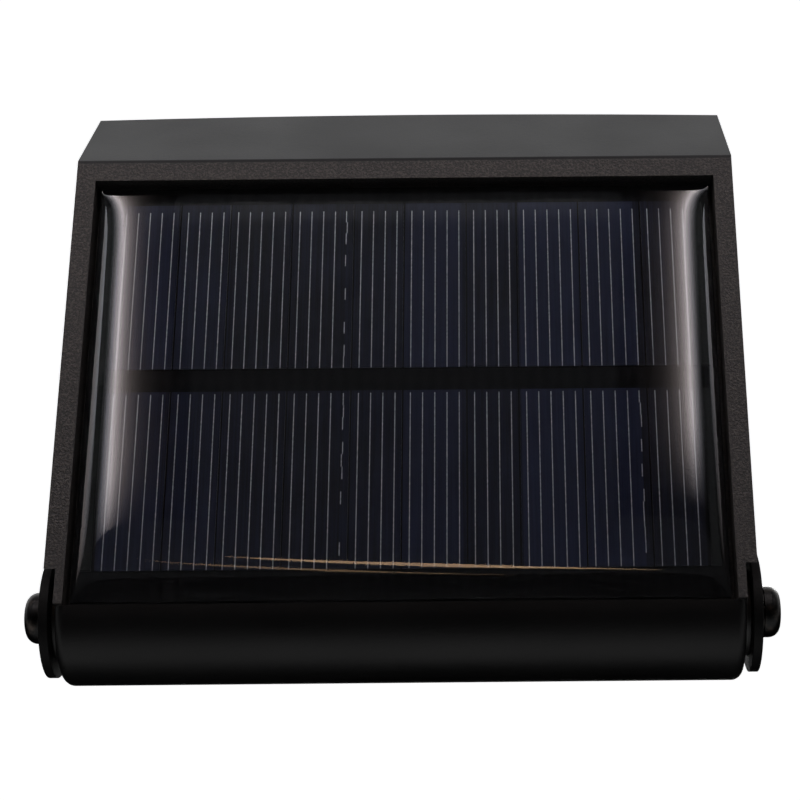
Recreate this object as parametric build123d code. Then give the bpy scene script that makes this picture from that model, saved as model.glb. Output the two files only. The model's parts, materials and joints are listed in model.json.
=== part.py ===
from build123d import *
import os
from math import atan2, cos, radians, sin, tan

# Solar wall light: a slab-shaped head that tilts between the ears of a sheet-steel wall bracket.
# Row frame: origin at the centre of the bracket's back face, wall plane y = 0, light towards -Y, +Z up.
# Head frame: origin on the tilt axis, X along it, U up the panel face, N out of the panel face.

# Driving dimensions in millimetres and degrees

# Solar module
module_width = 111.2
module_length = 79.5
module_thickness = 4.2
panel_board_thickness = 1.4
cell_thickness = 0.25
strip_fingers = (5, 4, 5, 5, 4, 5, 4, 5, 5, 4)
finger_pitch = 2.14
strip_border = 0.275
strip_gap = 0.3
strip_length = 33.0
row_gap = 4.4
cells_offset = 1.15
ribbon_width = 1.6
ribbon_thickness = 0.2
ribbon_offset = 0.4
resin_edge_round = 1.1

# Head shell
tilt_deg = 45.0
rim_wall = 4.2
side_rim = 3.5
panel_gap = 0.9
recess_depth = 0.6
lip_step = 0.4
lip_reach = 1.5
roof_length = 27.0
roof_rise = 1.9
roof_bow = 2.0
wall = 2.5
side_step = 2.0
ledge_width = 3.0
ledge_foot = 6.0
ledge_thickness = 1.8
panel_gasket_thickness = 0.5
flange_width = 3.5
flange_thickness = 1.8
edge_round = 0.6
roof_edge_round = 1.0
nose_end_round = 1.8

# Battery, which sets how thick the slab is
cell_diameter = 14.0
cell_length = 50.0
cell_nub_radius = 2.75
cell_nub_length = 1.0
cell_headroom = 2.0
cradle_floor = 1.0
cradle_wall = 1.6
cradle_side_clearance = 0.2
cradle_end_rise = 0.3
contact_thickness = 0.5
contact_width = 9.0
contact_height = 11.0
tab_width = 4.0
cradle_margin = 1.0
tab_reach = 5.0

# Cover
cover_thickness = 1.8
cover_gap = 0.15
cover_start = 6.0
cover_end_margin = 4.5
seal_thickness = 0.4
cover_screw_inset = 3.0
screw_boss_gap = 5.0
screw_boss_radius = 3.0
screw_boss_height = 6.5
cover_screw_radius = 1.4
cover_screw_length = 6.5
cover_head_radius = 2.6
cover_head_height = 1.0
hole_clearance = 0.2
thread_clearance = 0.02
hole_bottom_margin = 0.3
drive_depth_share = 0.6
drive_length_share = 0.65

# Light window
lens_border = 13.35
lens_length = 22.0
lens_gap = 0.15
lens_flange_width = 2.5
lens_flange_thickness = 1.2
lens_gasket_thickness = 0.5
reflector_height = 4.0
reflector_wall = 1.2
led_post_gap = 1.3
led_board_length = 27.0
led_board_thickness = 1.6
led_columns = 10
led_rows = 2
led_pitch_x = 7.6
led_pitch_u = 8.0
led_length = 3.5
led_width = 2.8
led_height = 0.7

# Shares of the free length between the cradle, the controller, the light window and the far flange
controller_gap_share = 0.16
led_gap_share = 0.44

# Controller board and its switch
controller_width = 64.0
controller_length = 18.0
controller_thickness = 1.6
inductor_radius = 3.0
inductor_height = 3.0
inductor_x = 12.0
chip_size = (5.0, 4.0, 1.5)
diode_size = (4.5, 2.6, 1.2)
diode_x = -9.0
switch_size = 6.2
switch_height = 3.5
plunger_radius = 1.7
plunger_stickout = 0.8
plunger_clearance = 0.1
plunger_sink = 0.6
button_radius = 4.5
button_proud = 0.5
button_flange = 1.5
button_flange_thickness = 0.8
button_stem_radius = 1.6
button_clearance = 0.15
button_travel = 0.6
button_seal_thickness = 0.5
switch_clearance = 0.4
post_radius = 2.2
board_screw_radius = 1.0
board_screw_length = 5.0
board_head_radius = 1.9
board_head_height = 1.3
post_inset = 3.0

# Leads
lead_radius = 0.65
lead_bend = 1.6
lead_pair_pitch = 6.0
panel_leads_x = -12.0
led_leads_x = 8.0
lead_edge_margin = 2.0
lead_tab_margin = 0.4
lead_rise = 1.0
battery_lead_inset = 6.0

# Pivot and bracket
sheet = 1.6
ear_inset = 1.35
ear_clearance = 2.65
arm_clearance = 0.5
friction_washer_thickness = 1.15
friction_washer_radius = 7.5
axial_play = 0.05
spring_washer_thickness = 1.0
spring_washer_radius = 4.2
spring_washer_split = 0.6
pivot_screw_radius = 2.5
pivot_screw_length = 11.0
pivot_head_radius = 4.4
pivot_head_height = 2.9
pivot_head_round = 2.0
cross_width = 1.1
cross_length = 5.2
cross_depth = 1.7
running_clearance = 0.08
insert_radius = 3.6
insert_length = 8.0
insert_boss_wall = 2.0
wall_gap = 1.4
plate_height = 70.0
plate_half_width = 50.0
plate_corner = 6.0
bend_inside = 1.2
wall_hole_radius = 2.6
wall_hole_spacing_x = 80.0
wall_hole_spacing_z = 44.0

# Worked-out places in the head frame
tilt = radians(tilt_deg)
slab_stack = recess_depth + module_thickness + cell_headroom + cell_diameter + cradle_floor + cover_thickness
nose_radius = (slab_stack - lip_step) / 2
face_n = nose_radius + lip_step
under_n = -nose_radius
body_half = module_width / 2 + panel_gap + side_rim
step_half = body_half - side_step
cavity_half = step_half - wall

recess_lo = -lip_reach
recess_hi = recess_lo + module_length + 2 * panel_gap
recess_half = body_half - side_rim
module_centre_u = (recess_lo + recess_hi) / 2
cells_centre_u = module_centre_u + cells_offset
strip_pitches = [count * finger_pitch + 2 * strip_border for count in strip_fingers]
cells_half = sum(strip_pitches) / 2
module_top = face_n - recess_depth
module_bottom = module_top - module_thickness
cells_n = module_bottom + panel_board_thickness
ledge_top = module_bottom - panel_gasket_thickness
ledge_bottom = ledge_top - ledge_thickness

bevel_u = recess_hi + rim_wall
roof_u = bevel_u + roof_length * cos(tilt) + roof_rise * sin(tilt)
roof_n = face_n - roof_length * sin(tilt) + roof_rise * cos(tilt)
roof_lean = tilt - atan2(roof_rise, roof_length)
end_u = roof_u - (roof_n - under_n) * tan(tilt)
head_reach = bevel_u * cos(tilt) - face_n * sin(tilt) + roof_length

cover_in = under_n + cover_thickness
cover_lo = cover_start
cover_hi = end_u - cover_end_margin
cover_half = cavity_half - cover_gap
flange_lo = cover_in + seal_thickness
flange_hi = flange_lo + flange_thickness

lens_top = cover_in + lens_gasket_thickness + lens_flange_thickness
led_board_n = lens_top + reflector_height
led_board_top = led_board_n + led_board_thickness
lens_width = 2 * (cover_half - lens_border)
lens_flange_half = lens_width / 2 + lens_flange_width
led_post_x = lens_flange_half + led_post_gap + post_radius
led_board_width = 2 * (led_post_x + post_inset)
lens_flange_reach = lens_length / 2 + lens_flange_width

cell_centre_n = cover_in + cradle_floor + cell_diameter / 2
cradle_half_u = cell_diameter / 2 + cradle_side_clearance + cradle_wall
cell_centre_u = cover_lo + flange_width + cradle_half_u + cradle_margin
contact_half_x = cell_length / 2 + contact_thickness
cradle_top = cell_centre_n + cradle_end_rise

cradle_end = cell_centre_u + cradle_half_u
boards_length = controller_length + led_board_length
layout_free = cover_hi - flange_width - cradle_end - boards_length
controller_centre_u = cradle_end + controller_gap_share * layout_free + controller_length / 2
led_board_start = controller_centre_u + controller_length / 2 + led_gap_share * layout_free
lens_centre_u = led_board_start + led_board_length / 2
cover_screw_mid_u = led_board_start - screw_boss_gap - screw_boss_radius

button_flange_n = cover_in + button_seal_thickness
button_stem_n = button_flange_n + button_flange_thickness
switch_n = button_stem_n + button_travel + switch_clearance
plunger_n = switch_n - plunger_stickout
controller_n = switch_n + switch_height
controller_top = controller_n + controller_thickness

ear_radius = nose_radius - ear_inset
ear_in = step_half + friction_washer_thickness + axial_play
ear_out = ear_in + sheet
axis_y = -(sheet + wall_gap + head_reach)
axis_z = ear_radius - plate_height / 2
head_place = Pos(0, axis_y, axis_z) * Rot(tilt_deg, 0, 0)

parts = {}


def block(x, u, n):
    """A box given by its (low, high) limits on each axis."""
    size = [hi - lo for lo, hi in (x, u, n)]
    middle = [(hi + lo) / 2 for lo, hi in (x, u, n)]
    return Pos(*middle) * Box(*size)


def centred(half):
    return (-half, half)


def span(middle, length):
    return (middle - length / 2, middle + length / 2)


def rod_x(radius, x0, x1, u=0.0, n=0.0):
    """A cylinder along X."""
    return Pos((x0 + x1) / 2, u, n) * Rot(0, 90, 0) * Cylinder(radius, abs(x1 - x0))


def rod_n(radius, n0, n1, x, u):
    """A cylinder along N."""
    return Pos(x, u, (n0 + n1) / 2) * Cylinder(radius, n1 - n0)


def both_ends(piece):
    """The piece at the +X end and its mirror image at the -X end."""
    return [piece, mirror(piece, Plane.YZ)]


def add(name, shape, in_head=True):
    """Keep a piece, or a list of equal pieces, under its node name."""
    shapes = shape if isinstance(shape, list) else [shape]
    solids = [solid for item in shapes for solid in item.solids()]
    if in_head:
        solids = [head_place * solid for solid in solids]
    parts[name] = solids[0] if len(solids) == 1 else Compound(solids)


def nearest(sketch, point):
    return sketch.vertices().sort_by_distance(Vector(*point, 0))[0]


def side_extrusion(sketch, half):
    """A sketch drawn in (U, N) drawn out along X, evenly both ways."""
    return extrude(Plane.YZ * sketch, half, both=True)


def slab_profile():
    """Side outline: round nose, flat face, roof strip, short end face and underside."""
    corners = [
        (0, under_n),
        (end_u, under_n),
        (roof_u, roof_n),
        (bevel_u, face_n),
        (-lip_reach, face_n),
        (-lip_reach, 0),
    ]
    outline = Circle(nose_radius) + Polygon(*corners, align=None)
    outline = fillet(nearest(outline, (bevel_u, face_n)), edge_round)
    return fillet(nearest(outline, (end_u, under_n)), roof_edge_round)


def bowed_plan():
    """Upright prism whose far side bows out, which shapes the end of the roof strip."""
    front = -2 * nose_radius
    edge = head_reach - roof_bow
    far_side = ThreePointArc((-body_half, edge), (0, head_reach), (body_half, edge))
    sides = Polyline((body_half, edge), (body_half, front), (-body_half, front), (-body_half, edge))
    plan = make_face([far_side, sides])
    return Rot(-tilt_deg, 0, 0) * extrude(plan, 2 * (roof_u + nose_radius), both=True)


def arm_recess():
    """Where the head's sides step in round the ear and over the bracket arm."""
    arm_top = ear_radius + arm_clearance
    reach = head_reach + wall_gap
    relief = Circle(ear_radius + ear_clearance)
    relief += Pos(reach / 2, arm_top - reach / 2) * Rectangle(reach, reach)
    cut = Rot(-tilt_deg, 0, 0) * extrude(Plane.YZ * relief, side_step)
    return both_ends(Pos(step_half, 0, 0) * cut)


def cavity():
    """Hollow inside the shell, one wall in from the roof and the end face, over the cover flange."""
    inside_u = bevel_u - wall * sin(roof_lean)
    inside_n = face_n - wall * cos(roof_lean)
    end_y = head_reach - roof_bow - wall
    start_y = inside_u * cos(tilt) - inside_n * sin(tilt)
    run = (end_y - start_y) / cos(tilt - roof_lean)
    pocket_u = recess_hi + wall
    corners = [
        (0, flange_hi),
        (end_y / cos(tilt) + flange_hi * tan(tilt), flange_hi),
        (inside_u + run * cos(roof_lean), inside_n - run * sin(roof_lean)),
        (pocket_u, inside_n - (pocket_u - inside_u) * tan(roof_lean)),
        (pocket_u, ledge_bottom),
        (0, ledge_bottom),
    ]
    nose_hollow = Circle(nose_radius - wall)
    nose_hollow -= Pos(0, ledge_bottom + nose_radius) * Rectangle(4 * nose_radius, 2 * nose_radius)
    return side_extrusion(Polygon(*corners, align=None) + nose_hollow, cavity_half)


def cover_screw_places():
    x = cover_half - cover_screw_inset
    rows = (cover_lo + cover_screw_inset, cover_screw_mid_u, cover_hi - cover_screw_inset)
    return [(side * x, u) for u in rows for side in (-1, 1)]


def head_housing():
    shell = side_extrusion(slab_profile(), body_half) & bowed_plan()
    for cut in arm_recess():
        shell -= cut
    nose_ends = [
        edge for edge in shell.edges().filter_by(GeomType.CIRCLE)
        if abs(edge.radius - nose_radius) < 0.01 and abs(abs(edge.center().X) - step_half) < 0.01
    ]
    shell = fillet(nose_ends, nose_end_round)
    shell -= cavity()
    boss_end = step_half - insert_length - insert_boss_wall
    for boss in both_ends(rod_x(insert_radius + insert_boss_wall, boss_end, cavity_half)):
        shell += boss
    shell -= block(centred(recess_half), (recess_lo, recess_hi), (ledge_top, face_n + 1))
    ledge_span = (recess_lo + ledge_foot, recess_hi - ledge_width)
    shell -= block(centred(recess_half - ledge_width), ledge_span, (ledge_bottom - 1, ledge_top))
    opening = (cover_lo - cover_gap, cover_hi + cover_gap)
    shell -= block(centred(cavity_half), opening, (under_n - 1, flange_lo))
    flange_span = (opening[0] + flange_width, opening[1] - flange_width)
    shell -= block(centred(cavity_half - flange_width), flange_span, (flange_lo, flange_hi))
    for x, u in cover_screw_places():
        shell += rod_n(screw_boss_radius, flange_lo, flange_lo + screw_boss_height, x, u)
    for x, u in cover_screw_places():
        pilot_top = under_n + cover_head_height + cover_screw_length + hole_bottom_margin
        shell -= rod_n(cover_screw_radius + thread_clearance, flange_lo, pilot_top, x, u)
    for hole in both_ends(rod_x(insert_radius + thread_clearance, step_half - insert_length, step_half)):
        shell -= hole
    return shell


def solar_module():
    """Board, cell strips, ribbons and resin of the solar module, and the gasket under it."""
    half = module_width / 2
    length = span(module_centre_u, module_length)
    board = block(centred(half), length, (module_bottom, cells_n))
    strips = []
    for side in (-1, 1):
        row = span(cells_centre_u + side * (row_gap + strip_length) / 2, strip_length)
        edge = -cells_half
        for pitch in strip_pitches:
            strip = span(edge + pitch / 2, pitch - strip_gap)
            strips.append(block(strip, row, (cells_n, cells_n + cell_thickness)))
            edge += pitch
    ribbon_x = cells_half + ribbon_offset
    rows_reach = row_gap / 2 + strip_length
    thick = (cells_n, cells_n + ribbon_thickness)
    joined = block((-ribbon_x - ribbon_width, -ribbon_x), span(cells_centre_u, 2 * rows_reach), thick)
    ribbons = [joined]
    for side in (-1, 1):
        row = span(cells_centre_u + side * (row_gap + strip_length) / 2, strip_length)
        ribbons.append(block((ribbon_x, ribbon_x + ribbon_width), row, thick))
    resin = block(centred(half), length, (cells_n, module_top))
    resin = fillet(resin.faces().sort_by(Axis.Z)[-1].edges(), resin_edge_round)
    resin -= strips + ribbons
    seat = block(centred(half), length, (ledge_top, module_bottom))
    inner = (recess_lo + ledge_foot, recess_hi - ledge_width)
    seat -= block(centred(recess_half - ledge_width), inner, (ledge_top, module_bottom))
    add("panel_board", board)
    add("solar_cells", strips)
    add("bus_ribbons", ribbons)
    add("panel_resin", resin)
    add("panel_gasket", seat)


def led_post_places():
    reach = led_board_length / 2 - post_inset
    return [(side * led_post_x, lens_centre_u + end * reach) for side in (-1, 1) for end in (-1, 1)]


def controller_post_places():
    x = controller_width / 2 - post_inset
    reach = controller_length / 2 - post_inset
    return [(side * x, controller_centre_u + end * reach) for side in (-1, 1) for end in (-1, 1)]


def underside_cover():
    cover = block(centred(cover_half), (cover_lo, cover_hi), (under_n, cover_in))
    window_x = centred(lens_width / 2 + lens_gap)
    window_u = span(lens_centre_u, lens_length + 2 * lens_gap)
    cover -= block(window_x, window_u, (under_n - 1, cover_in + 1))
    button_hole = button_radius + button_clearance
    cover -= rod_n(button_hole, under_n - 1, cover_in + 1, 0, controller_centre_u)
    for x, u in cover_screw_places():
        cover -= rod_n(cover_screw_radius + hole_clearance, under_n, cover_in, x, u)
        cover -= rod_n(cover_head_radius + hole_clearance, under_n, under_n + cover_head_height, x, u)
    for places, top in ((led_post_places(), led_board_n), (controller_post_places(), controller_n)):
        for x, u in places:
            cover += rod_n(post_radius, cover_in, top, x, u)
            pilot = rod_n(board_screw_radius + thread_clearance, top - board_screw_length, top, x, u)
            cover -= pilot
    return cover


def cover_seal():
    outer = block(centred(cover_half), (cover_lo, cover_hi), (cover_in, flange_lo))
    reach = flange_width - cover_gap
    inner_u = (cover_lo + reach, cover_hi - reach)
    seal = outer - block(centred(cover_half - reach), inner_u, (cover_in, flange_lo))
    for x, u in cover_screw_places():
        seal += rod_n(screw_boss_radius, cover_in, flange_lo, x, u)
    for x, u in cover_screw_places():
        seal -= rod_n(cover_screw_radius + hole_clearance, cover_in, flange_lo, x, u)
    return seal


def screw_n(radius, length, head_radius, head_height, seat_n, way, x, u):
    """A cross-head screw along N: its head stands from seat_n away from way, its shank runs along way."""
    head_far = seat_n - way * head_height
    head = rod_n(head_radius, min(seat_n, head_far), max(seat_n, head_far), x, u)
    tip = seat_n + way * length
    shank = rod_n(radius, min(seat_n, tip), max(seat_n, tip), x, u)
    depth = sorted((head_far, head_far + way * head_height * drive_depth_share))
    slot = head_radius * drive_length_share
    cross = block(span(x, 2 * slot), span(u, slot / 2), depth)
    cross += block(span(x, slot / 2), span(u, 2 * slot), depth)
    return head + shank - cross


def light_window():
    """Lens with its gasket, the reflector, and the LED board with its chips."""
    gasket_n = (cover_in, cover_in + lens_gasket_thickness)
    window_x = centred(lens_width / 2 + lens_gap)
    window_u = span(lens_centre_u, lens_length + 2 * lens_gap)
    flange_x = centred(lens_flange_half)
    flange_u = span(lens_centre_u, 2 * lens_flange_reach)
    gasket = block(flange_x, flange_u, gasket_n) - block(window_x, window_u, gasket_n)
    lens = block(centred(lens_width / 2), span(lens_centre_u, lens_length), (under_n, gasket_n[1]))
    lens += block(flange_x, flange_u, (gasket_n[1], lens_top))
    tray = block(flange_x, flange_u, (lens_top, led_board_n))
    mouth = Plane.XY.offset(lens_top) * Rectangle(lens_width, lens_length)
    throat_x = led_columns * led_pitch_x + 2 * reflector_wall
    throat_u = led_rows * led_pitch_u
    throat = Plane.XY.offset(led_board_n) * Rectangle(throat_x, throat_u)
    tray -= Pos(0, lens_centre_u, 0) * loft([mouth.face(), throat.face()])
    board_u = span(lens_centre_u, led_board_length)
    board = block(centred(led_board_width / 2), board_u, (led_board_n, led_board_top))
    for x, u in led_post_places():
        board -= rod_n(board_screw_radius + hole_clearance, led_board_n, led_board_top, x, u)
    chips = []
    chip_n = (led_board_n - led_height, led_board_n)
    for i in range(led_columns):
        for j in range(led_rows):
            x = (i - (led_columns - 1) / 2) * led_pitch_x
            u = lens_centre_u + (j - (led_rows - 1) / 2) * led_pitch_u
            chips.append(block(span(x, led_length), span(u, led_width), chip_n))
    add("lens_gasket", gasket)
    add("lens", lens)
    add("reflector", tray)
    add("led_board", board)
    add("led_chips", chips)


def controller():
    """Controller board with its larger components, the switch, the button and the button's seal."""
    board = block(centred(controller_width / 2), span(controller_centre_u, controller_length),
                  (controller_n, controller_top))
    for x, u in controller_post_places():
        board -= rod_n(board_screw_radius + hole_clearance, controller_n, controller_top, x, u)
    inductor_top = controller_top + inductor_height
    components = [rod_n(inductor_radius, controller_top, inductor_top, inductor_x, controller_centre_u)]
    for x, (width, length, height) in ((0.0, chip_size), (diode_x, diode_size)):
        level = (controller_top, controller_top + height)
        components.append(block(span(x, width), span(controller_centre_u, length), level))
    switch = block(centred(switch_size / 2), span(controller_centre_u, switch_size), (switch_n, controller_n))
    bore_top = switch_n + plunger_sink + button_travel + hole_bottom_margin
    switch -= rod_n(plunger_radius + plunger_clearance, switch_n, bore_top, 0, controller_centre_u)
    plunger = rod_n(plunger_radius, plunger_n, switch_n + plunger_sink, 0, controller_centre_u)
    button = rod_n(button_radius, under_n - button_proud, button_flange_n, 0, controller_centre_u)
    button = fillet(button.faces().sort_by(Axis.Z)[0].edges(), button_proud / 2)
    button += rod_n(button_radius + button_flange, button_flange_n, button_stem_n, 0, controller_centre_u)
    button += rod_n(button_stem_radius, button_stem_n, plunger_n, 0, controller_centre_u)
    seal = rod_n(button_radius + button_flange, cover_in, button_flange_n, 0, controller_centre_u)
    seal -= rod_n(button_radius + button_clearance, cover_in, button_flange_n, 0, controller_centre_u)
    add("controller_board", board)
    add("board_parts", components)
    add("tact_switch", switch)
    add("switch_plunger", plunger)
    add("mode_button", button)
    add("button_seal", seal)


def battery():
    """Cell with its cradle and end contacts."""
    half = cell_length / 2
    can = rod_x(cell_diameter / 2, -half, half - cell_nub_length, cell_centre_u, cell_centre_n)
    cell = can + rod_x(cell_nub_radius, half - cell_nub_length, half, cell_centre_u, cell_centre_n)
    outer_half = contact_half_x + cradle_wall
    cradle = block(centred(outer_half), span(cell_centre_u, 2 * cradle_half_u), (cover_in, cradle_top))
    cradle -= rod_x(cell_diameter / 2 + thread_clearance, -contact_half_x, contact_half_x,
                    cell_centre_u, cell_centre_n)
    slot = cell_diameter + 2 * cradle_side_clearance
    cradle -= block(centred(contact_half_x), span(cell_centre_u, slot), (cell_centre_n, cradle_top))
    contact_n = cover_in + cradle_floor + (cell_diameter - contact_height) / 2
    for side in (-1, 1):
        seat = sorted((side * half, side * contact_half_x))
        cradle -= block(seat, span(cell_centre_u, contact_width), (contact_n, cradle_top))
    plate_n = (contact_n, contact_n + contact_height)
    plate = block((half, contact_half_x), span(cell_centre_u, contact_width), plate_n)
    tab_n = (cradle_top, cradle_top + contact_thickness)
    plate += block((half, contact_half_x + tab_reach), span(cell_centre_u, tab_width), tab_n)
    add("battery_cell", cell)
    add("battery_cradle", cradle)
    add("battery_contacts", both_ends(plate))


def lead(x, start, crest_n, end):
    """A wire that leaves one face along N, crosses at crest_n and lands on another face."""
    (u0, n0), (u1, n1) = start, end
    path = FilletPolyline((x, u0, n0), (x, u0, crest_n), (x, u1, crest_n), (x, u1, n1), radius=lead_bend)
    profile = (path ^ 0) * Circle(lead_radius)
    return sweep(profile, path)


def leads():
    landing = controller_centre_u + controller_length / 2
    crest = controller_top + 2 * lead_bend + lead_rise
    pair = (-lead_pair_pitch / 2, lead_pair_pitch / 2)
    from_panel = (landing + lead_pair_pitch, module_bottom)
    on_board = (landing - lead_edge_margin, controller_top)
    mid_n = (module_bottom + controller_top) / 2
    add("panel_leads", [lead(x + panel_leads_x, from_panel, mid_n, on_board) for x in pair])
    from_leds = (lens_centre_u - led_board_length / 4, led_board_top)
    add("led_leads", [lead(x + led_leads_x, from_leds, crest, on_board) for x in pair])
    tab_top = (cell_centre_u, cradle_top + contact_thickness)
    tab_x = contact_half_x + tab_reach - lead_radius - lead_tab_margin
    near_edge = (controller_centre_u - controller_length / 2 + battery_lead_inset, controller_top)
    add("battery_leads", [lead(side * tab_x, tab_top, crest, near_edge) for side in (-1, 1)])


def pivots():
    """Screws, washers and threaded inserts on the tilt axis."""
    seat = ear_out + axial_play + spring_washer_thickness
    crown = seat + pivot_head_height
    head = rod_x(pivot_head_radius, seat, crown)
    head = fillet(head.faces().sort_by(Axis.X)[-1].edges(), pivot_head_round)
    depth = (crown - cross_depth, crown)
    arm = cross_length / 2
    head -= block(depth, centred(arm), centred(cross_width / 2))
    head -= block(depth, centred(cross_width / 2), centred(arm))
    screw = head + rod_x(pivot_screw_radius, seat - pivot_screw_length, seat)
    washer = rod_x(spring_washer_radius, seat - spring_washer_thickness, seat)
    washer -= rod_x(pivot_screw_radius + thread_clearance, seat - spring_washer_thickness, seat)
    washer -= block((ear_out, seat), centred(spring_washer_split / 2), (0, spring_washer_radius))
    ring = rod_x(friction_washer_radius, step_half, step_half + friction_washer_thickness)
    ring -= rod_x(pivot_screw_radius + thread_clearance, step_half, ear_in)
    insert = rod_x(insert_radius, step_half - insert_length, step_half)
    insert -= rod_x(pivot_screw_radius + thread_clearance, step_half - insert_length, step_half)
    add("pivot_screws", both_ends(screw))
    add("spring_washers", both_ends(washer))
    add("friction_washers", both_ends(ring))
    add("pivot_inserts", both_ends(insert))


def wall_bracket():
    """Bent sheet: a wall plate with an arm at each end that ends in a round ear."""
    low, high = axis_z - ear_radius, axis_z + ear_radius
    band = extrude(Pos(0, axis_y / 2) * Rectangle(2 * ear_out, -axis_y), high - low)
    bends = band.edges().filter_by(Axis.Z).group_by(Axis.Y)[-1]
    band = fillet(bends, bend_inside + sheet)
    hollow = extrude(Pos(0, (axis_y - sheet) / 2) * Rectangle(2 * ear_in, -axis_y - sheet), high - low)
    hollow_bends = hollow.edges().filter_by(Axis.Z).group_by(Axis.Y)[-1]
    band -= fillet(hollow_bends, bend_inside)
    bracket = Pos(0, 0, low) * band
    for ear in both_ends(Pos(0, axis_y, axis_z) * rod_x(ear_radius, ear_in, ear_out)):
        bracket += ear
    plate_top = plate_height / 2
    plate = block(centred(plate_half_width), (-sheet, 0), (axis_z, plate_top))
    corners = plate.edges().filter_by(Axis.Y).group_by(Axis.Z)[-1]
    bracket += fillet(corners, plate_corner)
    ear_hole = pivot_screw_radius + running_clearance
    for hole in both_ends(Pos(0, axis_y, axis_z) * rod_x(ear_hole, ear_in, ear_out)):
        bracket -= hole
    for x in centred(wall_hole_spacing_x / 2):
        for z in centred(wall_hole_spacing_z / 2):
            bracket -= Pos(x, -sheet / 2, z) * Rot(90, 0, 0) * Cylinder(wall_hole_radius, 2 * sheet)
    return bracket


def main():
    add("head_housing", head_housing())
    solar_module()
    add("underside_cover", underside_cover())
    add("cover_seal", cover_seal())
    add("cover_screws", [
        screw_n(cover_screw_radius, cover_screw_length, cover_head_radius, cover_head_height,
                under_n + cover_head_height, 1, x, u)
        for x, u in cover_screw_places()
    ])
    light_window()
    controller()
    seats = [(led_post_places(), led_board_top), (controller_post_places(), controller_top)]
    add("board_screws", [
        screw_n(board_screw_radius, board_screw_length, board_head_radius, board_head_height, seat, -1, x, u)
        for places, seat in seats for x, u in places
    ])
    battery()
    leads()
    pivots()
    add("wall_bracket", wall_bracket(), in_head=False)
    os.makedirs("parts", exist_ok=True)
    for name, shape in parts.items():
        export_step(shape, f"parts/{name}.step")


main()
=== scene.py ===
"""Looks of a solar wall light: a tilting slab head with an epoxy solar panel, in a steel wall bracket."""

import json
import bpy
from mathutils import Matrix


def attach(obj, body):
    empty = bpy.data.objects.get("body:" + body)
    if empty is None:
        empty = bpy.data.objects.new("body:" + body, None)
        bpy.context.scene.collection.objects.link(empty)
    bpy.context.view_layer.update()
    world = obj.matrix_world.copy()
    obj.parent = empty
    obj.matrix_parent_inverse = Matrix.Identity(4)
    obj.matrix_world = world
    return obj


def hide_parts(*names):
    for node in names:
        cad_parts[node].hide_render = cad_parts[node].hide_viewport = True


bl_info = {
    "name": "Solar wall light",
    "version": (1, 0, 0),
    "blender": (4, 5, 0),
    "location": "View3D > Sidebar > Solar light",
    "description": "Dresses the packed solar wall light and sets its studio",
    "category": "Object",
}

from math import atan2, cos, exp, pi, radians, sin

import bmesh
import bpy
from mathutils import Matrix, Vector

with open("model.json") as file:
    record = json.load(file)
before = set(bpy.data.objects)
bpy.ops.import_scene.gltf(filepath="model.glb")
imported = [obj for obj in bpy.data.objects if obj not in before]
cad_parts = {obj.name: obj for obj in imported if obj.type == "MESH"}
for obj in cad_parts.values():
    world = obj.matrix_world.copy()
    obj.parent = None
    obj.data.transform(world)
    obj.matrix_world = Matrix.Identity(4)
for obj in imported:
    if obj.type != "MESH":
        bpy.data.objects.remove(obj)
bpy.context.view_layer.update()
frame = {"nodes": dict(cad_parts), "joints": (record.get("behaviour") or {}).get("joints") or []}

MM = 0.001
NODES = frame["nodes"]
JOINTS = {joint["name"]: joint for joint in frame["joints"]}

# Head frame: X along the tilt axis, U up the panel face, N out of it
AXIS = Vector(JOINTS["head_tilt"]["pos_m"])
FACE_NORMAL = Vector(JOINTS["button_press"]["axis"]).normalized()
FACE_UP = FACE_NORMAL.cross(Vector((1, 0, 0)))
LEAN = FACE_UP.angle(Vector((0, 1, 0)))
HEAD = Matrix.Translation(AXIS) @ Matrix.Rotation(LEAN, 4, "X")


def head_box(node):
    """Lowest and highest corner of a CAD node in the head frame."""
    to_head = HEAD.inverted()
    corners = [to_head @ vertex.co for vertex in NODES[node].data.vertices]
    low = Vector(min(corner[i] for corner in corners) for i in range(3))
    high = Vector(max(corner[i] for corner in corners) for i in range(3))
    return low, high


RESIN_LOW, RESIN_HIGH = head_box("panel_resin")
CELLS_LOW, CELLS_HIGH = head_box("solar_cells")
CHIPS_LOW, CHIPS_HIGH = head_box("led_chips")

# Sizes that the solids were built with
FACE_N = head_box("head_housing")[1].z
ROOF_EDGE_U = 84.0 * MM
ROOF_LENGTH, ROOF_RISE = 27.0 * MM, 1.9 * MM
ROOF_LEAN = LEAN - atan2(ROOF_RISE, ROOF_LENGTH)
LIP_U = -1.5 * MM
ROW_GAP = 4.4 * MM
FINGER_PITCH = 2.14 * MM
STRIP_BORDER = 0.275 * MM
STRIP_GAP = 0.3 * MM
FINGERS_PER_ROW = 46
FINGERS_PER_STRIP = 4.6
STRIP_PHASE = 0.25
LED_SIZE = (3.5 * MM, 2.8 * MM)
LED_COLUMNS, LED_ROWS = 10, 2

# Window on each LED package, and how far its middle stands out
PHOSPHOR_SIZE = (LED_SIZE[0] * 0.72, LED_SIZE[1] * 0.78, 0.1 * MM)
PHOSPHOR_PROUD = 0.02 * MM

# Gloss left on a surface that clear resin wets, where both bend light alike
RESIN_WET = 0.05

# Shine of the shell's grained, roof and nose faces, and the grained faces' roughness
GRAIN_SHEEN, ROOF_SHEEN, NOSE_SHEEN = 0.36, 0.13, 0.14
GRAIN_ROUGHNESS = 0.5

# Depth of the shell's grain, and the share of it that the smooth faces keep
GRAIN_DEPTH = 0.18 * MM
SMOOTH_DEPTH = 0.22

# Blends from grained to smooth, counted from the lip of the nose and from the roof's plane
NOSE_BLEND = (-0.1 * MM, 0.2 * MM)
ROOF_BLEND = (-0.5 * MM, -0.3 * MM)

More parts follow.
